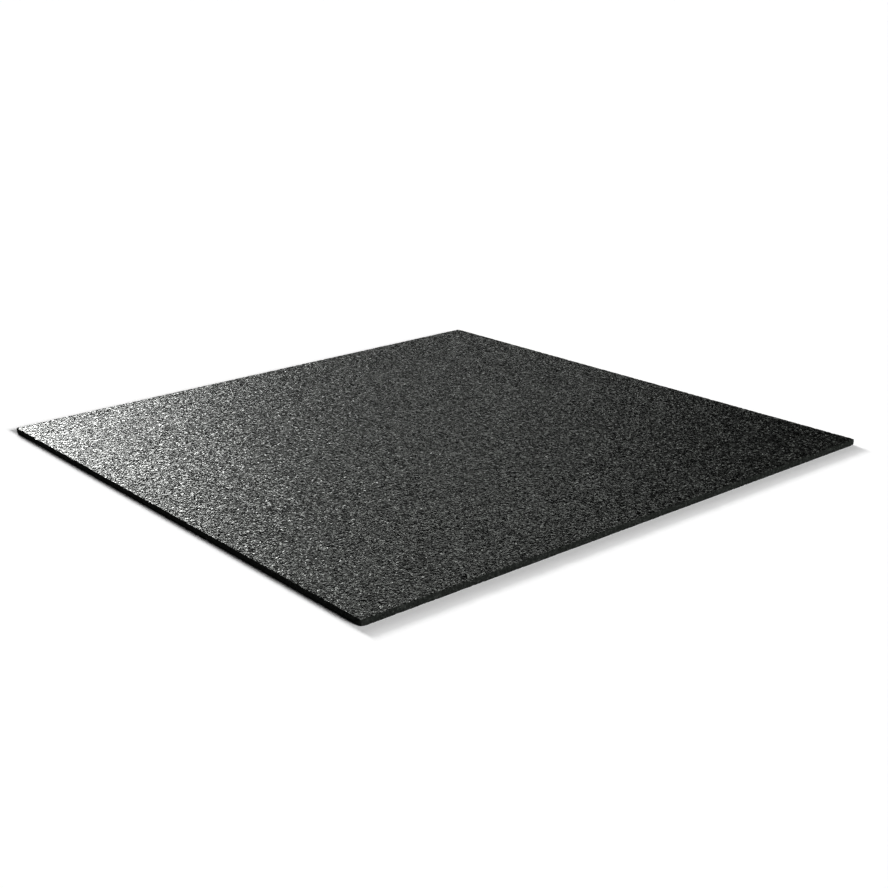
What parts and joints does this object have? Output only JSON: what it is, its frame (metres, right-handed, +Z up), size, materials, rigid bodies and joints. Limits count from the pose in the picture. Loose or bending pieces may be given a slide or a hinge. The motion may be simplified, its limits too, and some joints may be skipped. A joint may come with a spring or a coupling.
{
  "type": "floor protection tile",
  "caption": "Square floor protection tile of bonded black rubber granulate, flat on both faces, with straight cut edges.",
  "frame": {"origin": "middle of the underside, on the floor the tile lies on", "axes": "+Z up, out of the walking face; +X and +Y along two neighbouring sides of the square"},
  "size_m": [1, 1, 0.01],
  "materials": {
    "rubber_granulate": "granular, matt with small glossy points, near black with a slight green cast"
  },
  "bodies": {
    "root": {"rubber_tile": "rubber_granulate"}
  },
  "joints": []
}
